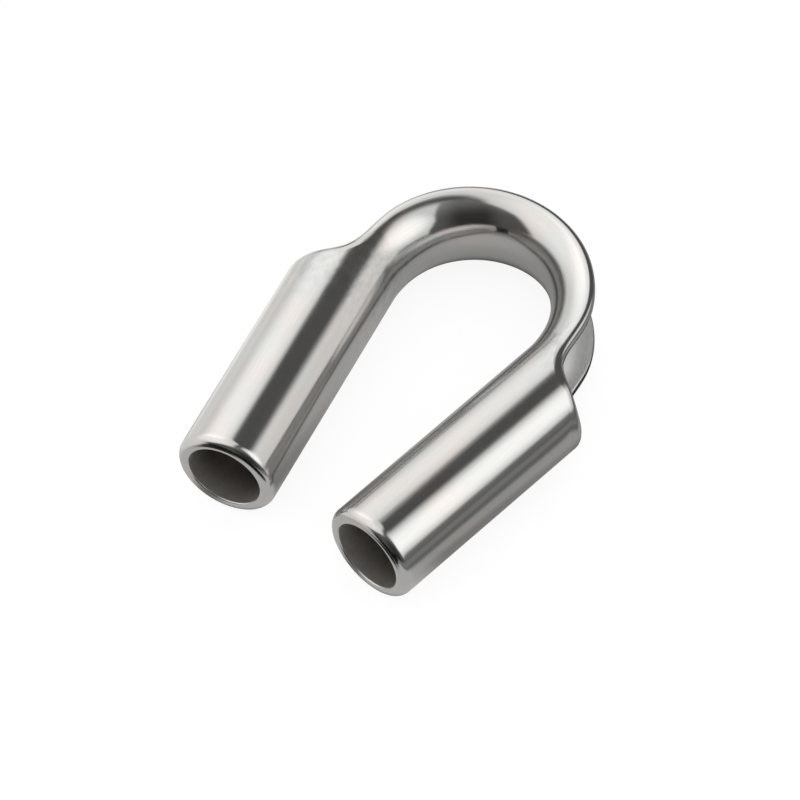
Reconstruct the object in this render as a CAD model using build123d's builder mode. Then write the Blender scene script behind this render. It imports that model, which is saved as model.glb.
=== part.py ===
from build123d import *
from math import sin, cos, radians, pi
import os

# Tube thimble (thimble eye) for wire or fibre rope, bent from one size of stainless tube.
# Two straight leg tubes close in on each other. The crown between them is a half-pipe channel: the
# outer half of the tube is cut away there, so that the rope can leave the legs and lie in the bend.
#
# Frame: origin at the centre of the crown arc, on the thimble's mid plane. +Y points to the crown's
# apex, the legs run towards -Y, the right leg is at +X, and the thimble lies flat with +Z up.
# Millimetres throughout.

os.makedirs("parts", exist_ok=True)

# ---------------------------------------------------------------- driving dimensions
TUBE_OD = 17.2          # pipe size DN 10
WALL = 2.3              # its normal wall, which leaves a 12.6 mm bore for 12 mm rope
BEND_R = 21.4           # radius of the tube's axis round the crown
TOE_IN = radians(9.0)   # how far each leg leans in from the thimble's centre line
LEG_LENGTH = 46.0       # along the leg, from the bend tangent to the open end
END_ROUND = 1.6         # rounding of the outer edge of an open end
MOUTH_ROUND = 0.3       # broken inner edge of an open end
RIM_ROUND = 0.8         # rounded outer edges of the sheared rims
RIM_BREAK = 0.3         # broken inner edges of the sheared rims

TUBE_R = TUBE_OD / 2
BORE_R = (TUBE_OD - 2 * WALL) / 2
HALF_SWEEP = pi / 2 + TOE_IN        # bend angle from one tangent to the apex
HALF_ARC = BEND_R * HALF_SWEEP
TANGENT_X = BEND_R * cos(TOE_IN)    # right bend tangent, where crown and leg meet
TANGENT_Y = -BEND_R * sin(TOE_IN)

# The crown's section: the tube flattens towards the apex, as a bent tube does.
# (share of the way from the bend tangent to the apex, radial half width, half height)
CROWN_SECTIONS = [
    (0.00, TUBE_R, TUBE_R),
    (0.14, 8.65, 8.45),
    (0.32, 8.35, 8.40),
    (0.52, 7.75, 8.50),
    (0.76, 7.10, 8.58),
    (1.00, 6.85, 8.60),
]

# The rim line of the cut, seen in plan on the right side.
# (distance along the tube's axis from the bend tangent, positive into the crown and negative down
# the leg; offset from the axis, positive outwards)
CUT_OVERSHOOT = 0.8     # how far outside the tube the rim line starts
CUT_PROFILE = [
    (-5.00, TUBE_R + CUT_OVERSHOOT),
    (-4.75, 7.60), (-3.70, 5.10), (-2.40, 2.60), (-0.80, 0.55),
    (1.20, -0.60), (3.20, -1.05), (5.30, -1.15), (8.50, -1.00),
    (12.2, -0.82), (17.0, -0.72), (22.0, -0.65), (27.0, -0.60), (32.0, -0.56),
]
APEX_RIM = -0.55        # offset of the rim from the tube's axis at the apex
CUT_SIDE_MARGIN = 12    # reach of the cut outline sideways from the start of the rim line
CUT_TOP_MARGIN = 16     # reach of the cut outline beyond the tube's axis at the apex

# Limits that pick the rim edges out from the others.
CROWN_RIM_LENGTH = HALF_ARC - 5     # crown rims are longer than this
CROWN_RIM_HEIGHT = 2                # and their centres lie further than this from the mid plane
LEG_RIM_LENGTH = 8                  # leg rims are longer than this


# ---------------------------------------------------------------- cut outline
def plan_point(along, outward):
    """Point in plan on the right side, given in the coordinates of CUT_PROFILE."""
    if along <= 0:
        return (
            TANGENT_X + along * sin(TOE_IN) + outward * cos(TOE_IN),
            TANGENT_Y + along * cos(TOE_IN) - outward * sin(TOE_IN),
        )
    turn = along / BEND_R - TOE_IN
    return ((BEND_R + outward) * cos(turn), (BEND_R + outward) * sin(turn))


rim_points = [plan_point(along, outward) for along, outward in CUT_PROFILE]
rim_points.append((0, BEND_R + APEX_RIM))

# Everything outside the rim line in plan is cut away, through the full height of the tube.
with BuildSketch(Plane.XY) as cut_outline:
    with BuildLine():
        rim = Spline(*rim_points)
        start = rim @ 0
        Polyline(
            start,
            (start.X + CUT_SIDE_MARGIN, start.Y),
            (start.X + CUT_SIDE_MARGIN, BEND_R + CUT_TOP_MARGIN),
            (0, BEND_R + CUT_TOP_MARGIN),
        )
        mirror(about=Plane.YZ)
    make_face()


# ---------------------------------------------------------------- crown
def section_plane(turn):
    """Plane across the tube's axis on the crown arc: local x outwards, local y up."""
    return Plane(
        origin=(BEND_R * cos(turn), BEND_R * sin(turn), 0),
        x_dir=(cos(turn), sin(turn), 0),
        z_dir=(sin(turn), -cos(turn), 0),
    )


def make_crown():
    """Half-pipe channel round the bend, from the right tangent over the apex to the left one."""
    stations = [
        (HALF_SWEEP * share - TOE_IN, radial, height) for share, radial, height in CROWN_SECTIONS
    ]
    stations += [(pi - turn, radial, height) for turn, radial, height in reversed(stations[:-1])]

    with BuildPart() as crown:
        # The outside of the tube first, then its bore.
        for inset, mode in ((0, Mode.ADD), (WALL, Mode.SUBTRACT)):
            for turn, radial, height in stations:
                with BuildSketch(section_plane(turn)):
                    Ellipse(radial - inset, height - inset)
            loft(mode=mode)
        add(cut_outline.sketch)
        extrude(amount=TUBE_OD, both=True, mode=Mode.SUBTRACT)

        def rims_by_height():
            rims = crown.edges().filter_by(
                lambda edge: edge.length > CROWN_RIM_LENGTH
                and abs(edge.center().Z) > CROWN_RIM_HEIGHT
            )
            return rims.sort_by(lambda edge: abs(edge.center().Z))

        fillet(rims_by_height()[-2:], radius=RIM_ROUND)
        fillet(rims_by_height()[:2], radius=RIM_BREAK)
    return crown.part


# ---------------------------------------------------------------- legs
def make_leg(side):
    """Straight tube, closing in; side is 1 for the right leg and -1 for the left."""
    # Plane across the leg at its bend tangent; its normal runs down the leg to the open end.
    plane = Plane(
        origin=(side * TANGENT_X, TANGENT_Y, 0),
        x_dir=(side * cos(TOE_IN), -sin(TOE_IN), 0),
        z_dir=(-side * sin(TOE_IN), -cos(TOE_IN), 0),
    )
    down_leg = Axis(plane.origin, plane.z_dir)

    with BuildPart() as leg:
        with BuildSketch(plane):
            Circle(TUBE_R)
            Circle(BORE_R, mode=Mode.SUBTRACT)
        extrude(amount=LEG_LENGTH)

        mouth = leg.faces().sort_by(down_leg)[-1]
        fillet(mouth.edges().sort_by(SortBy.LENGTH)[-1], radius=END_ROUND)
        mouth = leg.faces().filter_by(GeomType.PLANE).sort_by(down_leg)[-1]
        fillet(mouth.edges().sort_by(SortBy.LENGTH)[0], radius=MOUTH_ROUND)

        add(cut_outline.sketch)
        extrude(amount=TUBE_OD, both=True, mode=Mode.SUBTRACT)

        def long_rims():
            curves = leg.edges().filter_by(GeomType.BSPLINE)
            return curves.filter_by(lambda edge: edge.length > LEG_RIM_LENGTH)

        fillet(long_rims().sort_by(SortBy.LENGTH)[-2:], radius=RIM_ROUND)
        fillet(long_rims().sort_by(lambda edge: abs(edge.center().Z))[:2], radius=RIM_BREAK)
    return leg.part


# ---------------------------------------------------------------- names and files
pieces = {
    "crown_channel": make_crown(),
    "right_leg_tube": make_leg(side=1),
    "left_leg_tube": make_leg(side=-1),
}
for name, piece in pieces.items():
    piece.label = name
    export_step(piece, f"parts/{name}.step")
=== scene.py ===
"""A U-shaped polished steel tube, lying flat with its axis in the plane z = 0.

The bend is centred on the origin with the crown towards +Y; the legs run towards -Y and close in.
The outer side of the crown is sheared away, which leaves an inner channel between two leg tubes.
Work is in millimetres until the meshes are made. The upper right quarter is built and mirrored.
Words used below: "along" is the distance on the tube's axis past the start of the bend (negative
on a leg), "out" the distance outwards from the axis, "angle" the place round the section (0 on
the outer side, pi on the inner), and "inset" is 0 for the outer skin and WALL for the bore.
"""
import math
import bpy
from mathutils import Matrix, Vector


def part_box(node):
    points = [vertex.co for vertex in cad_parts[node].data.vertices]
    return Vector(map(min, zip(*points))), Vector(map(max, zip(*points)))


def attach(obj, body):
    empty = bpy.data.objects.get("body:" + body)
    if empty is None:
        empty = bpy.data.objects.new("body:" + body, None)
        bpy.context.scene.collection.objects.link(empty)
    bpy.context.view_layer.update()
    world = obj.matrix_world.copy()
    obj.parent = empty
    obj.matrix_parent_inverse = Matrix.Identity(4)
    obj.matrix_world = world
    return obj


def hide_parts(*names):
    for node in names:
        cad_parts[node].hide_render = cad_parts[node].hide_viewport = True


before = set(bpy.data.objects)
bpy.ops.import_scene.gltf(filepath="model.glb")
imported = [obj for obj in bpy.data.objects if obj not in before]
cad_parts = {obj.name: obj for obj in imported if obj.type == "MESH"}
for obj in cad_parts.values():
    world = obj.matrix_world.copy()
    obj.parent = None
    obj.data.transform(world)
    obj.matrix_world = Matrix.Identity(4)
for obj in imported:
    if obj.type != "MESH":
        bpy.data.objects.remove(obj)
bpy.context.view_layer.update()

import bpy
import numpy as np
from mathutils import Matrix

# ---------------------------------------------------------------- dimensions, mm
TUBE_RADIUS = 8.6
WALL = 2.3
BORE_RADIUS = TUBE_RADIUS - WALL
BEND_RADIUS = 21.4             # of the tube's axis round the crown
LEAN = math.radians(9.0)       # each leg closes in by this much
LEG_LENGTH = 46.0
HALF_ARC = BEND_RADIUS * (math.pi / 2 + LEAN)
MOUTH_ROUNDING = 1.6           # outer edge of an open end
MOUTH_BREAK = 0.3              # its inner edge
BORE_LIP = 0.40                # rounding of the cut's edge on the bore
MM = 1e-3                      # in metres

# share of the half arc, half width, half height of the outer section
SECTIONS = np.array([
    (0.00, 8.60, 8.60), (0.14, 8.65, 8.45), (0.32, 8.35, 8.40),
    (0.52, 7.75, 8.50), (0.76, 7.10, 8.58), (1.00, 6.85, 8.60)])
# the cut line seen in plan: along, out
CUT = np.array([
    (-4.6, 9.4), (-4.35, 7.6), (-3.40, 5.1), (-2.25, 2.6), (-0.80, 0.55),
    (1.20, -0.60), (3.20, -1.05), (5.30, -1.15), (8.50, -1.00), (12.2, -0.82),
    (17.0, -0.72), (22.0, -0.65), (27.0, -0.60), (32.0, -0.56), (HALF_ARC, -0.55)])

# mesh density
COLUMNS = 56                   # over half of the tube, from the cut to the inner line
PLAIN_ROWS = 44                # plain part of a leg
FAN_ROWS = 76                  # a leg's last part, beside the cut
CORNER_ROW = 40                # row of that part which starts at the cut's outermost point
FAN_FROM = -24.0               # where that part starts, along
CROWN_ROWS = 96
LIP_SEGMENTS = 5               # of a rounded edge
FACE_SEGMENTS = 3              # across the sheared face


# ---------------------------------------------------------------- curves
def spline_slopes(knots, values, end_slope):
    """Slopes of the cubic spline through the knots: natural at the start, a given slope at the end."""
    count = len(knots)
    gap = np.diff(knots)
    rise = np.diff(values, axis=0) / gap[:, None]
    matrix = np.zeros((count, count))
    target = np.zeros(values.shape)
    matrix[0, 0], matrix[0, 1] = 2, 1
    target[0] = 3 * rise[0]
    for i in range(1, count - 1):
        matrix[i, i - 1] = 1 / gap[i - 1]
        matrix[i, i] = 2 * (1 / gap[i - 1] + 1 / gap[i])
        matrix[i, i + 1] = 1 / gap[i]
        target[i] = 3 * (rise[i - 1] / gap[i - 1] + rise[i] / gap[i])
    matrix[-1, -1] = 1
    target[-1] = end_slope
    return np.linalg.solve(matrix, target)


def hermite(at, knots, values, slopes):
    at = np.asarray(at, float)
    k = np.clip(np.searchsorted(knots, at) - 1, 0, len(knots) - 2)
    gap = knots[k + 1] - knots[k]
    t = np.clip((at - knots[k]) / gap, 0, 1)[..., None]
    gap = gap[..., None]
    return ((2 * t**3 - 3 * t**2 + 1) * values[k] + (t**3 - 2 * t**2 + t) * gap * slopes[k]
            + (3 * t**2 - 2 * t**3) * values[k + 1] + (t**3 - t**2) * gap * slopes[k + 1])


def smooth(start, end, x):
    t = np.clip((np.asarray(x, float) - start) / (end - start), 0, 1)
    return t * t * (3 - 2 * t)


def path_lengths(points):
    return np.r_[0, np.cumsum(np.linalg.norm(np.diff(points, axis=0), axis=1))]


SHARES, HALF_SIZES = SECTIONS[:, 0], SECTIONS[:, 1:]
SIZE_SLOPES = np.zeros_like(HALF_SIZES)
SIZE_SLOPES[1:-1] = (HALF_SIZES[2:] - HALF_SIZES[:-2]) / (SHARES[2:] - SHARES[:-2])[:, None]


def half_sizes(along):
    """Half width and half height of the outer section."""
    share = np.clip(np.asarray(along, float) / HALF_ARC, 0, 1)
    sizes = hermite(share, SHARES, HALF_SIZES, SIZE_SLOPES)
    return sizes[..., 0], sizes[..., 1]


def plan(along, out):
    """Plan position on the right side."""
    along, out = np.asarray(along, float), np.asarray(out, float)
    turn = np.where(along > 0, along / BEND_RADIUS - LEAN, -LEAN)
    on_leg = np.minimum(along, 0)
    x = (BEND_RADIUS + out) * np.cos(turn) + on_leg * math.sin(LEAN)
    y = (BEND_RADIUS + out) * np.sin(turn) + on_leg * math.cos(LEAN)
    return x, y


def skin(along, angle, inset=0.0):
    """Point of the outer surface or of the bore."""
    width, height = half_sizes(along)
    x, y = plan(along, (width - inset) * np.cos(angle))
    return np.stack([x, y, (height - inset) * np.sin(angle)], -1)


# "arc" is the length on the cut line, seen in plan
CUT_ARCS = path_lengths(np.stack(plan(CUT[:, 0], CUT[:, 1]), -1))
CUT_SLOPES = spline_slopes(CUT_ARCS, CUT, end_slope=np.array([1.0, 0.0]))


def cut(arc):
    """(along, out) of the cut line."""
    place = hermite(arc, CUT_ARCS, CUT, CUT_SLOPES)
    return place[..., 0], place[..., 1]


DENSE_ARCS = np.linspace(0, CUT_ARCS[-1], 8001)
DENSE_ALONG, DENSE_OUT = cut(DENSE_ARCS)


def arc_at(along):
    return np.interp(along, DENSE_ALONG, DENSE_ARCS)


def arc_start(inset):
    """Where the cut line first goes under the skin."""
    width, _ = half_sizes(DENSE_ALONG)
    first = np.nonzero(DENSE_OUT < width - inset)[0][0]
    depth = (width - inset - DENSE_OUT)[first - 1:first + 1]
    step = DENSE_ARCS[1] - DENSE_ARCS[0]
    return DENSE_ARCS[first - 1] + step * (-depth[0]) / (depth[1] - depth[0])


def lip_radius(along, inset):
    """Rounding of the sheared edges: full on the outside, fullest at the neck, small on the bore."""
    if inset:
        return np.full(np.shape(along), BORE_LIP)
    past_neck = smooth(3.0, 11.0, along)
    return 1.25 + 0.70 * smooth(-3.5, 0.0, along) * (1 - past_neck) + 0.35 * past_neck


def edge_curve(inset, count):
    """Evenly spaced points of a leg's sharp cut edge, up to the bend: (arc, along, angle)."""
    start = arc_start(inset)
    arc = start + (arc_at(0.0) - start) * np.linspace(0, 1, 3001)**2
    along, out = cut(arc)
    width, _ = half_sizes(along)
    angle = np.arccos(np.clip(out / (width - inset), -1, 1))
    angle[0] = 0
    lengths = path_lengths(skin(along, angle, inset))
    even = np.linspace(0, lengths[-1], count)
    return tuple(np.interp(even, lengths, values) for values in (arc, along, angle))


def grid_between(left, right, bottom, top, rounds=1500):
    """Smooth grid of a flat four-sided region, by elliptic smoothing. Rows run left to right."""
    u = np.linspace(0, 1, len(bottom))[None, :, None]
    v = np.linspace(0, 1, len(left))[:, None, None]
    grid = ((1 - u) * left[:, None] + u * right[:, None] + (1 - v) * bottom[None] + v * top[None]
            - (1 - u) * (1 - v) * bottom[0] - u * (1 - v) * bottom[-1]
            - (1 - u) * v * top[0] - u * v * top[-1])
    for _ in range(rounds):
        by_u = (grid[1:-1, 2:] - grid[1:-1, :-2]) / 2
        by_v = (grid[2:, 1:-1] - grid[:-2, 1:-1]) / 2
        weight_u = (by_v**2).sum(-1)[..., None]
        weight_v = (by_u**2).sum(-1)[..., None]
        skew = (by_u * by_v).sum(-1)[..., None]
        twist = (grid[2:, 2:] - grid[2:, :-2] - grid[:-2, 2:] + grid[:-2, :-2]) / 4
        new = (weight_u * (grid[1:-1, 2:] + grid[1:-1, :-2])
               + weight_v * (grid[2:, 1:-1] + grid[:-2, 1:-1])
               - 2 * skew * twist) / (2 * (weight_u + weight_v) + 1e-12)
        grid[1:-1, 1:-1] += 0.9 * (new - grid[1:-1, 1:-1])
    return grid


# ---------------------------------------------------------------- patches of one quarter
def leg_side(inset, start):
    """Grids of along and angle over a leg's upper half, and the sharp edge of its cut rows.

    The grids are laid out flat, in (distance round the tube, along).
    """
    radius = TUBE_RADIUS - inset
    half_round = math.pi * radius
    count = FAN_ROWS - CORNER_ROW + 1
    edge = edge_curve(inset, count)
    _, along, angle = edge
    around = angle * radius
    step_around, step_along = np.gradient(around), np.gradient(along)
    # the lip lies square to the edge, and turns to run round the tube where the crown meets it
    shift_along = -step_around / np.hypot(step_around, step_along)
    shift_along[0] = -1
    shift_along = shift_along * (1 - smooth(0.75, 1.0, np.linspace(0, 1, count)))
    shift_around = np.sqrt(np.maximum(0, 1 - shift_along**2))
    rounding = lip_radius(along, inset)
    lip = np.stack([around + rounding * shift_around, along + rounding * shift_along], -1)
    lip[-1] = (around[-1] + rounding[-1], 0.0)

    def line(from_around, to_around, from_along, to_along, segments):
        return np.stack([np.linspace(from_around, to_around, segments + 1),
                         np.linspace(from_along, to_along, segments + 1)], -1)

    seam = line(0, 0, FAN_FROM, lip[0, 1], CORNER_ROW)
    fan = grid_between(
        left=np.concatenate([seam[:-1], lip]),
        right=line(half_round, half_round, FAN_FROM, 0, FAN_ROWS),
        bottom=line(0, half_round, FAN_FROM, FAN_FROM, COLUMNS),
        top=line(lip[-1, 0], half_round, 0, 0, COLUMNS))
    plain_along = np.linspace(start, FAN_FROM, PLAIN_ROWS + 1)[:-1]
    plain_around = np.linspace(0, half_round, COLUMNS + 1)
    plain = np.stack(np.broadcast_arrays(plain_around[None], plain_along[:, None]), -1)
    grid = np.concatenate([plain, fan])
    return grid[..., 1], grid[..., 0] / radius, edge


def bezier(start, middle, end):
    t = np.linspace(0, 1, LIP_SEGMENTS + 1)[None, :, None]
    return (1 - t)**2 * start[:, None] + 2 * t * (1 - t) * middle[:, None] + t**2 * end[:, None]


def sheared_strip(edge, bore_edge, lip, bore_lip):
    """Rounded outer edge, sheared face and rounded bore edge, row by row: (rows, columns, 3)."""
    arc, along, angle = edge
    bore_arc, bore_along, bore_angle = bore_edge
    z = skin(along, angle)[:, 2]
    bore_z = skin(bore_along, bore_angle, WALL)[:, 2]
    depth = np.hypot(arc - bore_arc, z - bore_z)

    def on_face(share):
        x, y = plan(*cut(arc + (bore_arc - arc) * share))
        return np.stack([x, y, z + (bore_z - z) * share], -1)

    first = np.minimum(lip_radius(along, 0.0), 0.62 * depth) / depth
    last = 1 - np.minimum(lip_radius(bore_along, WALL), 0.22 * depth) / depth
    face = [on_face(first + (last - first) * k / FACE_SEGMENTS) for k in range(1, FACE_SEGMENTS)]
    return np.concatenate([bezier(lip, on_face(0.0), on_face(first)), np.stack(face, 1),
                           bezier(on_face(last), on_face(1.0), bore_lip)], 1)


class Shell:
    """Collects quads. Each point has a place on the skin (around, along, mm) and how far inside it is."""

    def __init__(self):
        self.points, self.info, self.quads, self.caps, self.size = [], [], [], [], 0

    def patch(self, points, around, along, inside):
        shape = points.shape[:2]
        index = self.size + np.arange(shape[0] * shape[1]).reshape(shape)
        info = [np.broadcast_to(k, shape).ravel() for k in (around, along, inside)]
        self.points.append(points.reshape(-1, 3))
        self.info.append(np.stack(info, -1))
        corners = [index[:-1, :-1], index[:-1, 1:], index[1:, 1:], index[1:, :-1]]
        self.quads.append(np.stack(corners, -1).reshape(-1, 4))
        self.size += index.size
        return index

    def mirror(self, axis):
        """Adds the mirror image in the plane through the origin across axis."""
        points, info = np.concatenate(self.points), np.concatenate(self.info)
        quads = np.concatenate(self.quads)
        other_points, other_info = points.copy(), info.copy()
        other_points[:, axis] *= -1
        if axis == 2:
            other_info[:, 0] *= -1
        count = len(points)
        self.points, self.info = [points, other_points], [info, other_info]
        self.quads = [quads, (quads + count)[:, ::-1]]
        self.caps = self.caps + [[k + count for k in cap][::-1] for cap in self.caps]
        self.size = 2 * count


def add_quarter(shell, sides, first_lip, end):
    """Adds outer skin, bore and sheared strip, and closes the end row that meets the next piece.

    sides holds (along, angle, edge) of the skin and of the bore; the cut starts at row first_lip.
    """
    (along, angle, edge), (bore_along, bore_angle, bore_edge) = sides
    points, bore_points = skin(along, angle), skin(bore_along, bore_angle, WALL)
    outer = shell.patch(points, angle * TUBE_RADIUS, along, 0.0)[end]
    inner = shell.patch(bore_points[:, ::-1], bore_angle[:, ::-1] * TUBE_RADIUS,
                        bore_along[:, ::-1], 1.0)[end][::-1]
    strip = sheared_strip(edge, bore_edge, points[first_lip:, 0], bore_points[first_lip:, 0])
    # the outer lip counts as skin, then comes the face, then the bore
    columns = strip.shape[1]
    stops = [0, LIP_SEGMENTS - 1, LIP_SEGMENTS + 1, columns - LIP_SEGMENTS - 1, columns - 1]
    inside = np.interp(np.arange(columns), stops, [0, 0, 0.4, 0.6, 1.0])[None]
    side = shell.patch(strip[:, ::-1], (edge[2] * TUBE_RADIUS)[:, None],
                       along[first_lip:, 0][:, None], inside[:, ::-1])[end]
    for k in range(len(outer) - 1):
        shell.caps.append([outer[k], outer[k + 1], inner[k + 1], inner[k]])
    shell.caps.append([outer[0], inner[0]] + list(side[1:-1]))


def add_mouth(shell):
    """The open end of a leg: rounded outer edge, flat ring, broken inner edge."""
    rings = []                                     # radius, along
    for turn in np.linspace(0, 1, 9) * math.pi / 2:
        rings.append((TUBE_RADIUS - MOUTH_ROUNDING + MOUTH_ROUNDING * math.cos(turn),
                      -LEG_LENGTH + MOUTH_ROUNDING - MOUTH_ROUNDING * math.sin(turn)))
    for share in (0.66, 0.33):
        flat = WALL - MOUTH_ROUNDING - MOUTH_BREAK
        rings.append((BORE_RADIUS + MOUTH_BREAK + flat * share, -LEG_LENGTH))
    for turn in np.linspace(0, 1, 5) * math.pi / 2:
        rings.append((BORE_RADIUS + MOUTH_BREAK - MOUTH_BREAK * math.sin(turn),
                      -LEG_LENGTH + MOUTH_BREAK - MOUTH_BREAK * math.cos(turn)))
    inside = np.interp(np.arange(len(rings)), [0, 8, 9, 11, 15], [0, 0, 0.4, 0.5, 1.0])
    radius, along = np.array(rings[::-1]).T[..., None]
    angle = np.linspace(0, math.pi, COLUMNS + 1)[None]
    x, y = plan(along, radius * np.cos(angle))
    points = np.stack([x, y, radius * np.sin(angle)], -1)
    shell.patch(points, angle * TUBE_RADIUS, along, inside[::-1][:, None])


def leg_shell():
    shell = Shell()
    sides = (leg_side(0.0, -LEG_LENGTH + MOUTH_ROUNDING),
             leg_side(WALL, -LEG_LENGTH + MOUTH_BREAK))
    add_quarter(shell, sides, first_lip=PLAIN_ROWS + CORNER_ROW, end=-1)
    add_mouth(shell)
    shell.mirror(axis=2)
    return shell


def crown_shell():
    shell = Shell()
    along = np.linspace(0, HALF_ARC, CROWN_ROWS + 1)
    arc = arc_at(along)
    _, out = cut(arc)
    half_width, half_height = half_sizes(along)
    sides = []
    for inset in (0.0, WALL):
        width, height = half_width - inset, half_height - inset
        edge = np.arccos(np.clip(out / width, -1, 1))
        per_angle = np.hypot(width * np.sin(edge), height * np.cos(edge))
        lip = edge + lip_radius(along, inset) / per_angle
        angle = lip[:, None] + (math.pi - lip)[:, None] * np.linspace(0, 1, COLUMNS + 1)[None]
        sides.append((along[:, None] + 0 * angle, angle, (arc, along, edge)))
    add_quarter(shell, sides, first_lip=0, end=0)
    shell.caps = [cap[::-1] for cap in shell.caps]
    shell.mirror(axis=2)
    shell.mirror(axis=0)
    return shell


# ---------------------------------------------------------------- closed meshes
def weld(shell):
    """Points with coinciding ones merged, their info, and faces as (indices, is_cap)."""
    points = np.concatenate(shell.points)
    keys = np.round(points * 2e3).astype(np.int64)
    _, first, merged = np.unique(keys, axis=0, return_index=True, return_inverse=True)
    merged = merged.ravel()
    faces = []
    for group, is_cap in ((np.concatenate(shell.quads).tolist(), 0), (shell.caps, 1)):
        for corners in group:
            face = []
            for k in corners:
                k = int(merged[k])
                if not face or (face[-1] != k and face[0] != k):
                    face.append(k)
            if len(face) > 2:
                faces.append((face, is_cap))
    return points[first], np.concatenate(shell.info)[first], faces


def reversed_faces(faces):
    return [(face[::-1], is_cap) for face, is_cap in faces]


def outward(points, faces):
    """Turns every face round if the closed mesh is inside out."""
    volume = 0.0
    for face, _ in faces:
        for k in range(1, len(face) - 1):
            normal = np.cross(points[face[k]], points[face[k + 1]])
            volume += float(np.dot(points[face[0]], normal))
    return faces if volume > 0 else reversed_faces(faces)


def skin_normals(parts):
    """Smooth normals from the visible faces of all pieces, so that light runs on across a joint."""
    total = {}
    part_keys = []
    for points, faces in parts:
        sums = np.zeros_like(points)
        for size in (4, 3):
            found = [f for f, is_cap in faces if not is_cap and len(f) == size]
            if not found:
                continue
            corners = points[np.array(found)]
            # a quad's diagonals, or two sides of a triangle
            start = 1 if size == 4 else 0
            normal = np.cross(corners[:, 2] - corners[:, 0], corners[:, 3] - corners[:, 1]) \
                if start else np.cross(corners[:, 1] - corners[:, 0], corners[:, 2] - corners[:, 0])
            for k in range(size):
                np.add.at(sums, np.array(found)[:, k], normal)
        keys = [tuple(k) for k in np.round(points * 1e3).astype(int).tolist()]
        part_keys.append(keys)
        for key, normal in zip(keys, sums):
            total[key] = total.get(key, 0) + normal
    result = []
    for keys in part_keys:
        normals = np.array([total[key] for key in keys])
        result.append(normals / np.maximum(np.linalg.norm(normals, axis=1), 1e-12)[:, None])
    return result


def add_object(name, data):
    made = bpy.data.objects.new(name, data)
    bpy.context.scene.collection.objects.link(made)
    return made


def store(mesh, name, values):
    """Writes one number or one vector per point as an attribute."""
    kind, field = ("FLOAT", "value") if values.ndim == 1 else ("FLOAT_VECTOR", "vector")
    attribute = mesh.attributes.new(name, kind, "POINT")
    attribute.data.foreach_set(field, values.astype(np.float32).ravel())


def make_piece(name, points, info, faces, normals):
    mesh = bpy.data.meshes.new(name)
    mesh.from_pydata((points * MM).tolist(), [], [face for face, _ in faces])
    mesh.validate()
    mesh.polygons.foreach_set("use_smooth", [True] * len(mesh.polygons))

    # the whole tube as a straight one, for the textures
    x, y = points[:, 0], points[:, 1]
    on_left = x < 0
    angle, from_bend = info[:, 0] / TUBE_RADIUS, info[:, 1]
    along = np.where(on_left, 2 * HALF_ARC - from_bend, from_bend)
    straight = [TUBE_RADIUS * np.cos(angle), TUBE_RADIUS * np.sin(angle), along]
    store(mesh, "along", np.stack(straight, -1))
    store(mesh, "inside", info[:, 2])

    # direction of the tube's axis: round the crown, then down each leg
    way = np.stack([-y, x, 0 * x], -1)
    leg = from_bend < 0
    way[leg] = np.stack([np.where(on_left[leg], -1, 1) * math.sin(LEAN),
                         np.full(leg.sum(), math.cos(LEAN)), np.zeros(leg.sum())], -1)
    way /= np.linalg.norm(way, axis=1)[:, None]
    store(mesh, "lengthwise", way)

    # how much the bending worked the skin: most where each bend starts, wider on the left
    shift, width = np.where(on_left, 3.0, -1.5), np.where(on_left, 9.0, 5.0)
    store(mesh, "worked", np.exp(-((from_bend + shift) / width) ** 2))

    loops = np.zeros(len(mesh.loops), int)
    mesh.loops.foreach_get("vertex_index", loops)
    per_loop = normals[loops].copy()
    for polygon, (_, is_cap) in zip(mesh.polygons, faces):
        if is_cap:
            start = polygon.loop_start
            per_loop[start:start + polygon.loop_total] = np.array(polygon.normal)
    mesh.normals_split_custom_set(per_loop.tolist())
    return add_object(name, mesh)


# ---------------------------------------------------------------- small node language
DEGREES = 57.29578             # in a radian


def plug(tree, value, socket):
    """Links a node value to a socket, or writes a plain number into it."""
    value = value.socket if isinstance(value, Value) else value
    if isinstance(value, (int, float)):
        socket.default_value = value
    else:
        tree.links.new(value, socket)


class Value:
    """A number in a shader tree: + - * and the calls below build nodes."""

    def __init__(self, tree, socket):
        self.tree, self.socket = tree, socket

    def _math(self, operation, *terms):
        node = self.tree.nodes.new("ShaderNodeMath")
        node.operation = operation
        for k, term in enumerate(terms):
            plug(self.tree, term, node.inputs[k])
        return Value(self.tree, node.outputs[0])

    def __add__(self, other): return self._math("ADD", self, other)
    __radd__ = __add__
    def __mul__(self, other): return self._math("MULTIPLY", self, other)
    __rmul__ = __mul__
    def __sub__(self, other): return self._math("SUBTRACT", self, other)
    def __rsub__(self, other): return self._math("SUBTRACT", other, self)
    def absolute(self): return self._math("ABSOLUTE", self)
    def arcsin(self): return self._math("ARCSINE", self)
    def arctan2(self, other): return self._math("ARCTAN2", self, other)
    def power(self, other): return self._math("POWER", self, other)
    def maximum(self, other): return self._math("MAXIMUM", self, other)
    def minimum(self, other): return self._math("MINIMUM", self, other)

    def rise(self, start, end):
        """A smooth step from 0 at start to 1 at end; start is below end, either may be a Value."""
        node = self.tree.nodes.new("ShaderNodeMapRange")
        node.interpolation_type = "SMOOTHSTEP"
        for k, term in enumerate((self, start, end)):
            plug(self.tree, term, node.inputs[k])
        return Value(self.tree, node.outputs[0])

    def past(self, place, blur):
        """Rises through one half at place, over blur on each side."""
        return self.rise(place - blur, place + blur)


def mix(share, low, high):
    """low where share is 0, high where it is 1."""
    if isinstance(low, Value) or isinstance(high, Value):
        return low + (high - low) * share
    return share * (high - low) + low


def distance(x, y):
    return (x * x + y * y).power(0.5)


def vary(noise, swing, middle=0.5):
    """A noise centred on zero and scaled by swing."""
    return swing * (noise - middle)


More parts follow.
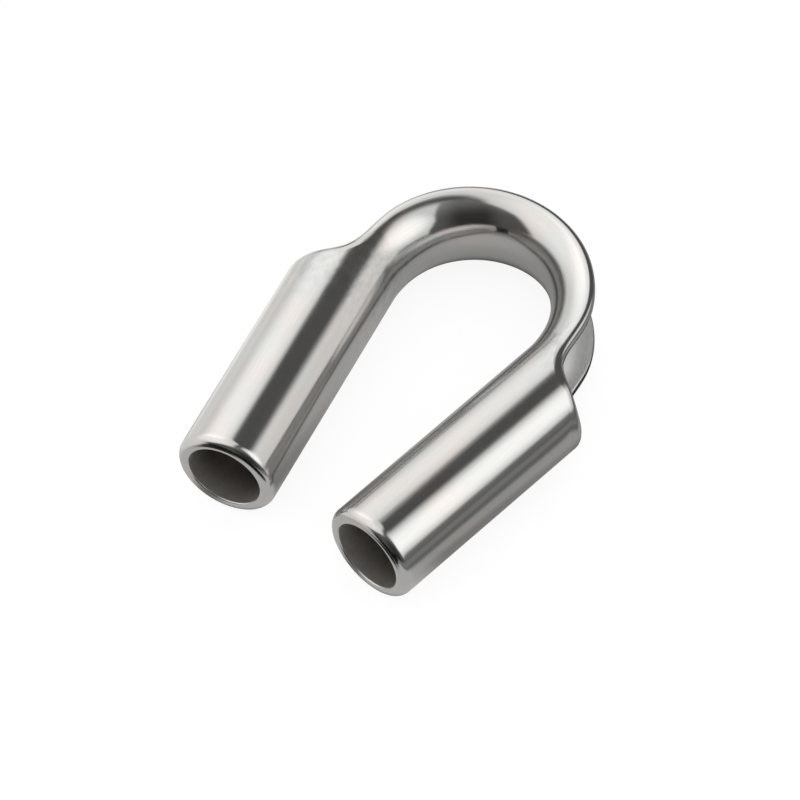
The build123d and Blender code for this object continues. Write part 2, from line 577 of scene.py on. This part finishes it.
def separate(tree, socket):
    node = tree.nodes.new("ShaderNodeSeparateXYZ")
    tree.links.new(socket, node.inputs[0])
    return [Value(tree, node.outputs[k]) for k in range(3)]


def combine(tree, channels, target):
    node = tree.nodes.new("ShaderNodeCombineColor")
    for k, channel in enumerate(channels):
        plug(tree, channel, node.inputs[k])
    tree.links.new(node.outputs[0], target)


def tint(tree, level, target):
    """Slightly warm white of the given level."""
    combine(tree, [level * share for share in (1.0, 0.99, 0.97)], target)


def vector_math(tree, operation, *sockets):
    node = tree.nodes.new("ShaderNodeVectorMath")
    node.operation = operation
    for k, socket in enumerate(sockets):
        tree.links.new(socket, node.inputs[k])
    return node.outputs[0]


def glossy_ray(tree):
    return tree.nodes.new("ShaderNodeLightPath").outputs["Is Glossy Ray"]


def split_by_ray(tree, plain, mirrored, output):
    """One shader for what the steel mirrors, another for everything else."""
    node = tree.nodes.new("ShaderNodeMixShader")
    for k, socket in enumerate((glossy_ray(tree), plain.outputs[0], mirrored.outputs[0])):
        tree.links.new(socket, node.inputs[k])
    tree.links.new(node.outputs[0], output.inputs["Surface"])


# ---------------------------------------------------------------- world
SOFT_LIGHT = 1.08              # even light on everything that is not a mirror image
WALL_LEVEL = 0.854
WINDOW_GAIN = 0.618
# on the left, front and back: gain, azimuth, elevation, radius
GLOWS = ((0.357, -154.2, 46.2, 50.5), (0.385, 154.7, 43.0, 35.7))
PANEL_LEVEL = 0.941            # overhead
BELOW_WALLS_LEVEL = 0.17
BAR_LEVEL = 0.095


def studio_level(tree):
    """Mirrored brightness of a pale tent, a window on the right and a dark gap round the camera.

    By direction: azimuth from +X towards +Y and elevation from the floor, both in degrees.
    """
    generated = tree.nodes.new("ShaderNodeTexCoord").outputs["Generated"]
    x, y, z = separate(tree, vector_math(tree, "NORMALIZE", generated))
    azimuth = y.arctan2(x) * DEGREES
    elevation = z.minimum(0.99999).maximum(-0.99999).arcsin() * DEGREES

    def glow(at_azimuth, at_elevation, radius):
        turn, lift = math.radians(at_azimuth), math.radians(at_elevation)
        towards = (x * (math.cos(turn) * math.cos(lift)) + y * (math.sin(turn) * math.cos(lift))
                   + z * math.sin(lift))
        return towards.rise(math.cos(math.radians(radius)), math.cos(math.radians(2)))

    # the window is an ellipse: centre, and one over each half size
    window_x = (azimuth - 17.2) * (1 / 34.7)
    window_y = (elevation - 37.3) * (1 / 25.5)
    window = 1 - (window_x * window_x + window_y * window_y).rise(0.0, 1.0)
    level = WALL_LEVEL + WINDOW_GAIN * window
    for gain, *place in GLOWS:
        level = level + gain * glow(*place)
    level = mix(elevation.rise(69.0, 85.0), level, PANEL_LEVEL)

    # where the walls start, past the table's far edge: low in front, higher at right and back
    far_side = azimuth.rise(60, 90) * (1 - azimuth.rise(128, 142))
    to_right = (azimuth.rise(-30, 0) * (1 - 0.75 * azimuth.rise(22, 42))
                * (1 - azimuth.rise(60, 90)))
    far_left = 9.0 * azimuth.rise(128, 142) * (1 - azimuth.rise(146, 153))
    horizon = -3.4 + 14.4 * to_right + 23.4 * far_side + far_left
    blur = 6.0 - 3.0 * to_right
    level = mix(elevation.past(horizon, blur), BELOW_WALLS_LEVEL, level)

    # a dark bar overhead, between the panel and the window, wider towards the back
    left = 0.13 - 0.32 * y.past(0.402, 0.1) - 0.3 * y.past(0.70, 0.04)
    right = 0.355 + 0.13 * y.rise(0.3, 0.6)
    bar = (x.past(left, 0.09) * (1 - x.past(right, 0.09))
           * (elevation + 60 * y.past(0.66, 0.04)).past(29.1, 8) * y.rise(-0.6, -0.4))
    level = mix(bar, level, BAR_LEVEL)

    # the dark gap round the camera: its sides lean with height, and it pales upwards and sideways
    left = -125.4 + 0.65 * elevation + 0.66 * (elevation - 36).maximum(0)
    right = -6.3 - 0.53 * (elevation - 12).maximum(0).minimum(18.8)
    gap = (azimuth.past(left, 5.2) * (1 - azimuth.past(right, 2.4))
           * (1 - elevation.rise(65.0, 75.0)))
    dark = (0.010 + 0.025 * elevation.rise(-5, 22) + 0.165 * elevation.rise(20, 68).power(1.5)
            + 0.08 * (azimuth + 55).rise(12, 36) + 0.07 * (-1 * azimuth - 55).rise(12, 36))
    return mix(gap, level, dark)


def make_world():
    world = bpy.data.worlds.new("studio")
    bpy.context.scene.world = world
    world.use_nodes = True
    tree = world.node_tree
    tree.nodes.clear()
    output = tree.nodes.new("ShaderNodeOutputWorld")
    mirrored = tree.nodes.new("ShaderNodeBackground")
    tint(tree, studio_level(tree), mirrored.inputs["Color"])
    plain = tree.nodes.new("ShaderNodeBackground")
    plain.inputs["Color"].default_value = (1.0, 1.0, 1.0, 1)
    plain.inputs["Strength"].default_value = SOFT_LIGHT
    split_by_ray(tree, plain, mirrored, output)


# ---------------------------------------------------------------- polished stainless steel
def steel(name):
    """Bright stainless with lengthwise lines, faint forming marks by the bends, and a duller bore."""
    material = bpy.data.materials.new(name)
    material.use_nodes = True
    tree = material.node_tree
    tree.nodes.clear()
    output = tree.nodes.new("ShaderNodeOutputMaterial")
    shader = tree.nodes.new("ShaderNodeBsdfPrincipled")
    tree.links.new(shader.outputs[0], output.inputs["Surface"])

    def attribute(attribute_name, kind):
        node = tree.nodes.new("ShaderNodeAttribute")
        node.attribute_name = attribute_name
        return node.outputs[kind]

    place = attribute("along", "Vector")
    inside = Value(tree, attribute("inside", "Fac"))
    worked = Value(tree, attribute("worked", "Fac"))
    from_apex = (separate(tree, place)[2] - HALF_ARC).absolute()
    deep = inside.rise(0.80, 0.95)
    face = inside.rise(0.10, 0.35) * (1 - inside.rise(0.75, 0.95))
    bore = from_apex.rise(HALF_ARC - 2, HALF_ARC + 8)
    # dull oxide: in the channel and at the mouths
    dull = mix(bore, 0.45, 0.22 * from_apex.rise(76, 83))
    plug(tree, 1 - dull * deep, shader.inputs["Metallic"])

    def noise(scale, lengthwise, detail, rough=0.5, seed=(0, 0, 0), warp=0.0):
        """Noise on the straightened tube; lengthwise below 1 draws it out along the tube."""
        mapping = tree.nodes.new("ShaderNodeMapping")
        mapping.inputs["Scale"].default_value = (1, 1, lengthwise)
        mapping.inputs["Location"].default_value = seed
        tree.links.new(place, mapping.inputs["Vector"])
        node = tree.nodes.new("ShaderNodeTexNoise")
        settings = {"Scale": scale, "Detail": detail, "Roughness": rough, "Distortion": warp}
        for key, value in settings.items():
            node.inputs[key].default_value = value
        tree.links.new(mapping.outputs[0], node.inputs["Vector"])
        return Value(tree, node.outputs[0])

    # polishing lines about 0.3 mm apart, broader ones, and forming marks of about a millimetre
    lines = noise(scale=2.6, lengthwise=0.05, detail=5, rough=0.62)
    long_lines = noise(scale=0.9, lengthwise=0.03, detail=2, seed=(5, 2, 8))
    peel = noise(scale=0.85, lengthwise=0.7, detail=2, rough=0.40, seed=(7, 3, 1), warp=0.2)
    broad = noise(scale=0.10, lengthwise=0.35, detail=2, seed=(3, 9, 4))
    fine = noise(scale=7.0, lengthwise=0.35, detail=3, rough=0.6, seed=(1, 2, 3))

    # grey level of the skin, then of the bore
    tone = (0.645 + vary(broad, swing=0.07) + vary(lines, swing=0.08)
            + vary(peel, swing=0.30 * worked, middle=0.52))
    deep_tone = (mix(bore, 0.62, 0.48) + vary(fine, swing=0.14) + vary(peel, swing=0.12)
                 + vary(lines, swing=0.10))
    tone = mix(deep, tone, deep_tone)
    warmth = noise(scale=0.16, lengthwise=0.5, detail=2, seed=(11, 4, 6)).rise(0.42, 0.60)
    # red, green, blue: cool skin, warm skin, bore
    tints = ((0.985, 1.030, 1.05), (1.0, 0.993, 0.99), (0.990, 0.972, 0.94))
    channels = [tone * mix(deep, mix(warmth, cool, warm), mix(bore, 1.0, oxide))
                for cool, warm, oxide in tints]
    combine(tree, channels, shader.inputs["Base Color"])

    # roughness of the skin, the sheared face and the bore
    rough = (0.105 + vary(lines, swing=0.06) + vary(broad, swing=0.04) + 0.04 * worked * peel)
    rough = mix(face, rough, 0.13 + vary(fine, swing=0.08))
    rough = mix(deep, rough, 0.33 + vary(fine, swing=0.15))
    # steel mirrored in steel is smooth and soft: there the fine lines would only turn to grain
    second = Value(tree, glossy_ray(tree))
    first = 1 - second
    plug(tree, mix(second, rough.maximum(0.04), 0.42), shader.inputs["Roughness"])

    # the lines run along the tube, so light spreads round it
    normal = tree.nodes.new("ShaderNodeNewGeometry").outputs["Normal"]
    around = vector_math(tree, "CROSS_PRODUCT", normal, attribute("lengthwise", "Vector"))
    tree.links.new(around, shader.inputs["Tangent"])
    plug(tree, 0.75 * first * (1 - inside.rise(0.05, 0.30)), shader.inputs["Anisotropic"])

    def bump(height, strength, depth, before=None):
        node = tree.nodes.new("ShaderNodeBump")
        node.inputs["Distance"].default_value = depth
        plug(tree, strength, node.inputs["Strength"])
        plug(tree, height, node.inputs["Height"])
        if before:
            tree.links.new(before, node.inputs["Normal"])
        return node.outputs[0]

    relief = bump(lines + 1.6 * long_lines, strength=0.35 * first, depth=0.000008)
    relief = bump(peel, strength=(0.06 + 0.60 * worked) * first, depth=0.000022, before=relief)
    tree.links.new(relief, shader.inputs["Normal"])
    return material


# ---------------------------------------------------------------- floor: a pale light table
FLOOR_HALF = 3.0               # metres
CARD_EDGE = -33.4              # the white card lies to the left of this x
CLOTH_LEVEL = 0.004
# beside the mouths, to their left: x, y
MOUTH_SHADES = ((9.0, -49.5), (-17.8, -51.0))


def table_level(tree):
    """Brightness of the table as the steel mirrors it, by place in millimetres.

    White card on the left, painted shade of grey under and round the object, grey in front of it,
    black cloth past the front, darker towards the right and the back.
    """
    geometry = tree.nodes.new("ShaderNodeNewGeometry")
    x, y = (value * 1000 for value in separate(tree, geometry.outputs["Position"])[:2])
    # painted shade: the pale table is mirrored grey round the object, less dark in the middle between the
    # legs
    level = 0.25 + 0.21 * (1 - distance(x - 2.0, y + 7.0).rise(6, 30))
    right = 0.40 - 0.24 * x.past(47, 6) + 0.08 * x.past(70, 10)
    level = mix(x.rise(28, 36), level, right)
    level = mix(y.past(28, 6), level, mix(x.past(44, 6), 0.29, 0.15))
    level = mix((1 - y.past(-42, 5)) * (1 - x.rise(44, 60)), level, 0.57)
    card = 0.85 + 0.05 * (1 - x.rise(-120, -70)) + 0.19 * x.rise(-54, -40) * y.rise(-62, -8)
    level = mix(1 - x.past(CARD_EDGE, 5.2), level, card)

    # the cloth hangs past the front edge, so only rays of some directions meet it (degrees)
    back_x, back_y, back_z = separate(tree, geometry.outputs["Incoming"])
    azimuth = (-1 * back_y).arctan2(-1 * back_x) * DEGREES
    elevation = back_z.minimum(0.99999).arcsin() * -DEGREES
    cloth = (elevation.past(mix(y.past(-58, 3), -31, -12), 4) * azimuth.past(-116.5, 4)
             * (1 - azimuth.past(-38, 6)))
    cloth = cloth * (1 - x.past(17 + 0.6 * (-62 - y).maximum(0), 4))
    # it creases up in front of each mouth: centre x and y, half sizes, where it is seen from
    creases = ((8.5, -61.0, 6.5, 4.2, 1 - azimuth.past(-75, 8)),
               (11.0, -66.0, 8.0, 7.5, 1 - azimuth.past(-80, 8)),
               (-20.0, -70.0, 8.5, 8.5, azimuth.past(-120, 4)))
    for at_x, at_y, half_x, half_y, seen in creases:
        reach = distance((x - at_x) * (1 / half_x), (y - at_y) * (1 / half_y))
        cloth = cloth.maximum(seen * (1 - reach.rise(0.6, 1.15)))
    level = mix(cloth, level, CLOTH_LEVEL)

    # hardly any light gets under the legs and the crown
    out = x.absolute() * math.cos(LEAN) - y * math.sin(LEAN) - BEND_RADIUS
    along = x.absolute() * math.sin(LEAN) + y * math.cos(LEAN)
    bend_out = distance(x, y) - BEND_RADIUS
    under = ((1 - out.absolute().rise(2.5, 8.5)) * along.rise(-47.5, -44.5)
             * (1 - along.rise(-2, 2)))
    under = under.maximum((1 - bend_out.absolute().rise(2.5, 8.5)) * along.rise(-2, 2))
    level = level * (1 - 0.85 * under)
    for at_x, at_y in MOUTH_SHADES:
        level = level * (0.35 + 0.65 * distance(x - at_x, y - at_y).rise(0.5, 4.5))
    return level


def make_floor():
    ground = min(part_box(n)[0].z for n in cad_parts)
    corners = [(x * FLOOR_HALF, y * FLOOR_HALF, ground)
               for x, y in ((-1, -1), (1, -1), (1, 1), (-1, 1))]
    mesh = bpy.data.meshes.new("floor")
    mesh.from_pydata(corners, [], [(0, 1, 2, 3)])
    add_object("floor", mesh)

    paper = bpy.data.materials.new("pale_paper")
    paper.use_nodes = True
    tree = paper.node_tree
    plain = tree.nodes["Principled BSDF"]
    settings = {
        "Base Color": (0.15, 0.15, 0.15, 1), "Roughness": 0.9, "Specular IOR Level": 0.0,
        "Emission Color": (1, 1, 1, 1), "Emission Strength": 0.88}
    for key, value in settings.items():
        plain.inputs[key].default_value = value
    mirrored = tree.nodes.new("ShaderNodeEmission")
    tint(tree, table_level(tree), mirrored.inputs["Color"])
    split_by_ray(tree, plain, mirrored, tree.nodes["Material Output"])
    mesh.materials.append(paper)


# ---------------------------------------------------------------- camera, far off and long
CAMERA_DOWN = math.radians(53.144)        # below the horizontal
CAMERA_HEADING = math.radians(-35.626)    # from +Y, negative towards -X
CAMERA_ROLL = math.radians(-1.163)
ORIGIN_SEEN = np.array([10.9994, -13.674, 1290.0])   # mm right, down and away from the camera
LENS = 357.18975                          # mm, on a 36 mm sensor


def make_camera():
    down_sin, down_cos = math.sin(CAMERA_DOWN), math.cos(CAMERA_DOWN)

    def turn_z(angle):
        return np.array([[math.cos(angle), -math.sin(angle), 0],
                         [math.sin(angle), math.cos(angle), 0], [0, 0, 1]])

    tilt = np.array([[1, 0, 0], [0, -down_sin, -down_cos], [0, down_cos, -down_sin]])
    view = turn_z(CAMERA_ROLL) @ tilt @ turn_z(CAMERA_HEADING)     # rows: right, down, away
    data = bpy.data.cameras.new("camera")
    camera = add_object("camera", data)
    matrix = np.eye(4)
    matrix[:3, :3] = np.stack([view[0], -view[1], -view[2]], 1)
    matrix[:3, 3] = -view.T @ (ORIGIN_SEEN * MM)
    camera.matrix_world = Matrix(matrix.tolist())
    data.sensor_width = 36.0
    data.lens = LENS
    data.clip_start = 0.01
    data.clip_end = 50.0
    bpy.context.scene.camera = camera


# ---------------------------------------------------------------- build
def make_pieces():
    leg, leg_info, leg_faces = weld(leg_shell())
    crown, crown_info, crown_faces = weld(crown_shell())
    leg_faces = outward(leg, leg_faces)
    crown_faces = outward(crown, crown_faces)
    left_leg = leg * np.array([-1, 1, 1])
    left_faces = reversed_faces(leg_faces)
    normals = skin_normals([(crown, crown_faces), (leg, leg_faces), (left_leg, left_faces)])
    polished = steel("polished_stainless")
    pieces = (("crown_channel_skin", "crown_channel", crown, crown_info, crown_faces),
              ("right_leg_skin", "right_leg_tube", leg, leg_info, leg_faces),
              ("left_leg_skin", "left_leg_tube", left_leg, leg_info, left_faces))
    for (name, node, points, info, faces), piece_normals in zip(pieces, normals):
        piece = make_piece(name, points, info, faces, piece_normals)
        piece.data.materials.append(polished)
        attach(piece, "root")
        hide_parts(node)


make_world()
make_pieces()
make_floor()
make_camera()
bpy.context.scene.view_settings.view_transform = "Standard"
